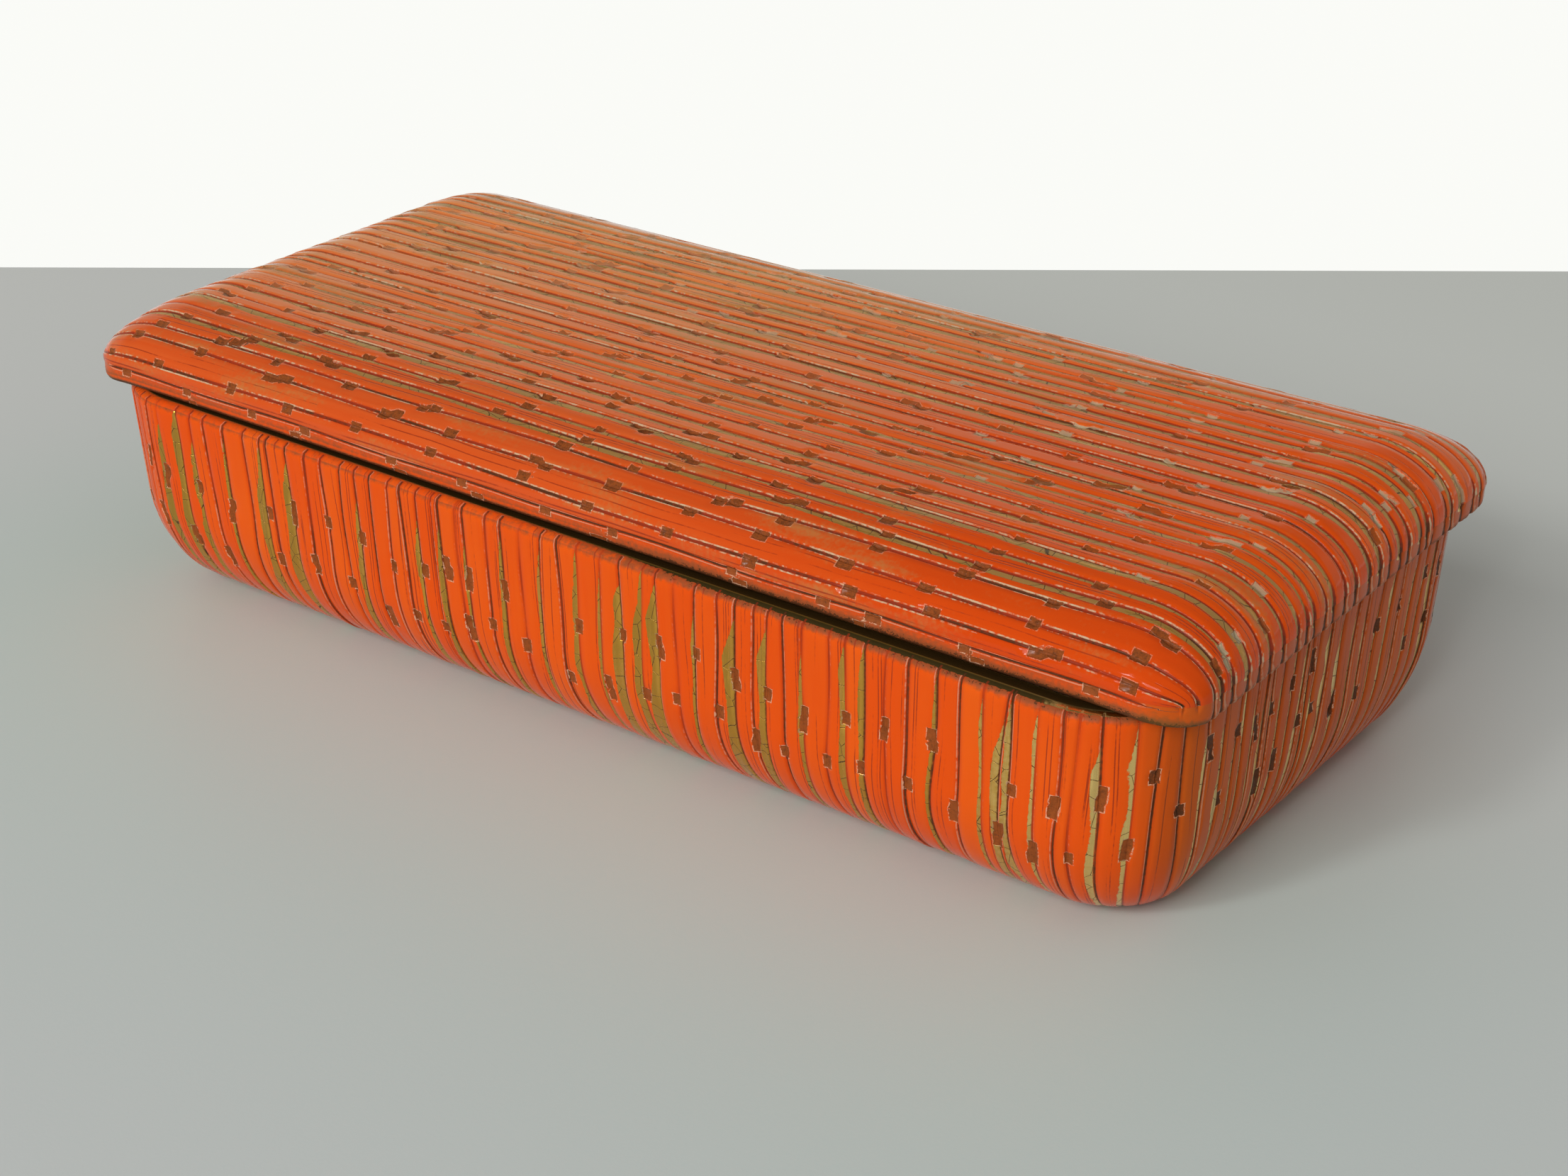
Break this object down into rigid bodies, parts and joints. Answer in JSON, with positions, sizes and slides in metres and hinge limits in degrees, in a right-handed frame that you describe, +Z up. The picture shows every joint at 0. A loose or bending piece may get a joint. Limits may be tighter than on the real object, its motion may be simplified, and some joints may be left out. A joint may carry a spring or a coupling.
{
  "type": "ceramic lidded box",
  "caption": "Low oblong glazed ceramic box with rounded corners and foot, and a pillow-edged lift-off lid; striped, punched and gilt surface.",
  "frame": {"origin": "middle of the box's length and width, on the surface that it stands on", "axes": "+X along the length, +Y to the rear long side, +Z up"},
  "size_m": [0.24, 0.1148, 0.056],
  "materials": {
    "orange_glaze": "glossy orange glaze over scored and punched clay",
    "gold_lustre": "fired gold lustre, worn and crazed",
    "bare_clay": "unglazed biscuit, matt"
  },
  "bodies": {
    "tray": {"base": "orange_glaze"},
    "lid": {"lid": "orange_glaze"}
  },
  "joints": [
    {"name": "lid_lift", "type": "slide", "parent": "tray", "child": "lid", "axis": [0, 0, 1], "range_m": [0, 0.08]}
  ]
}
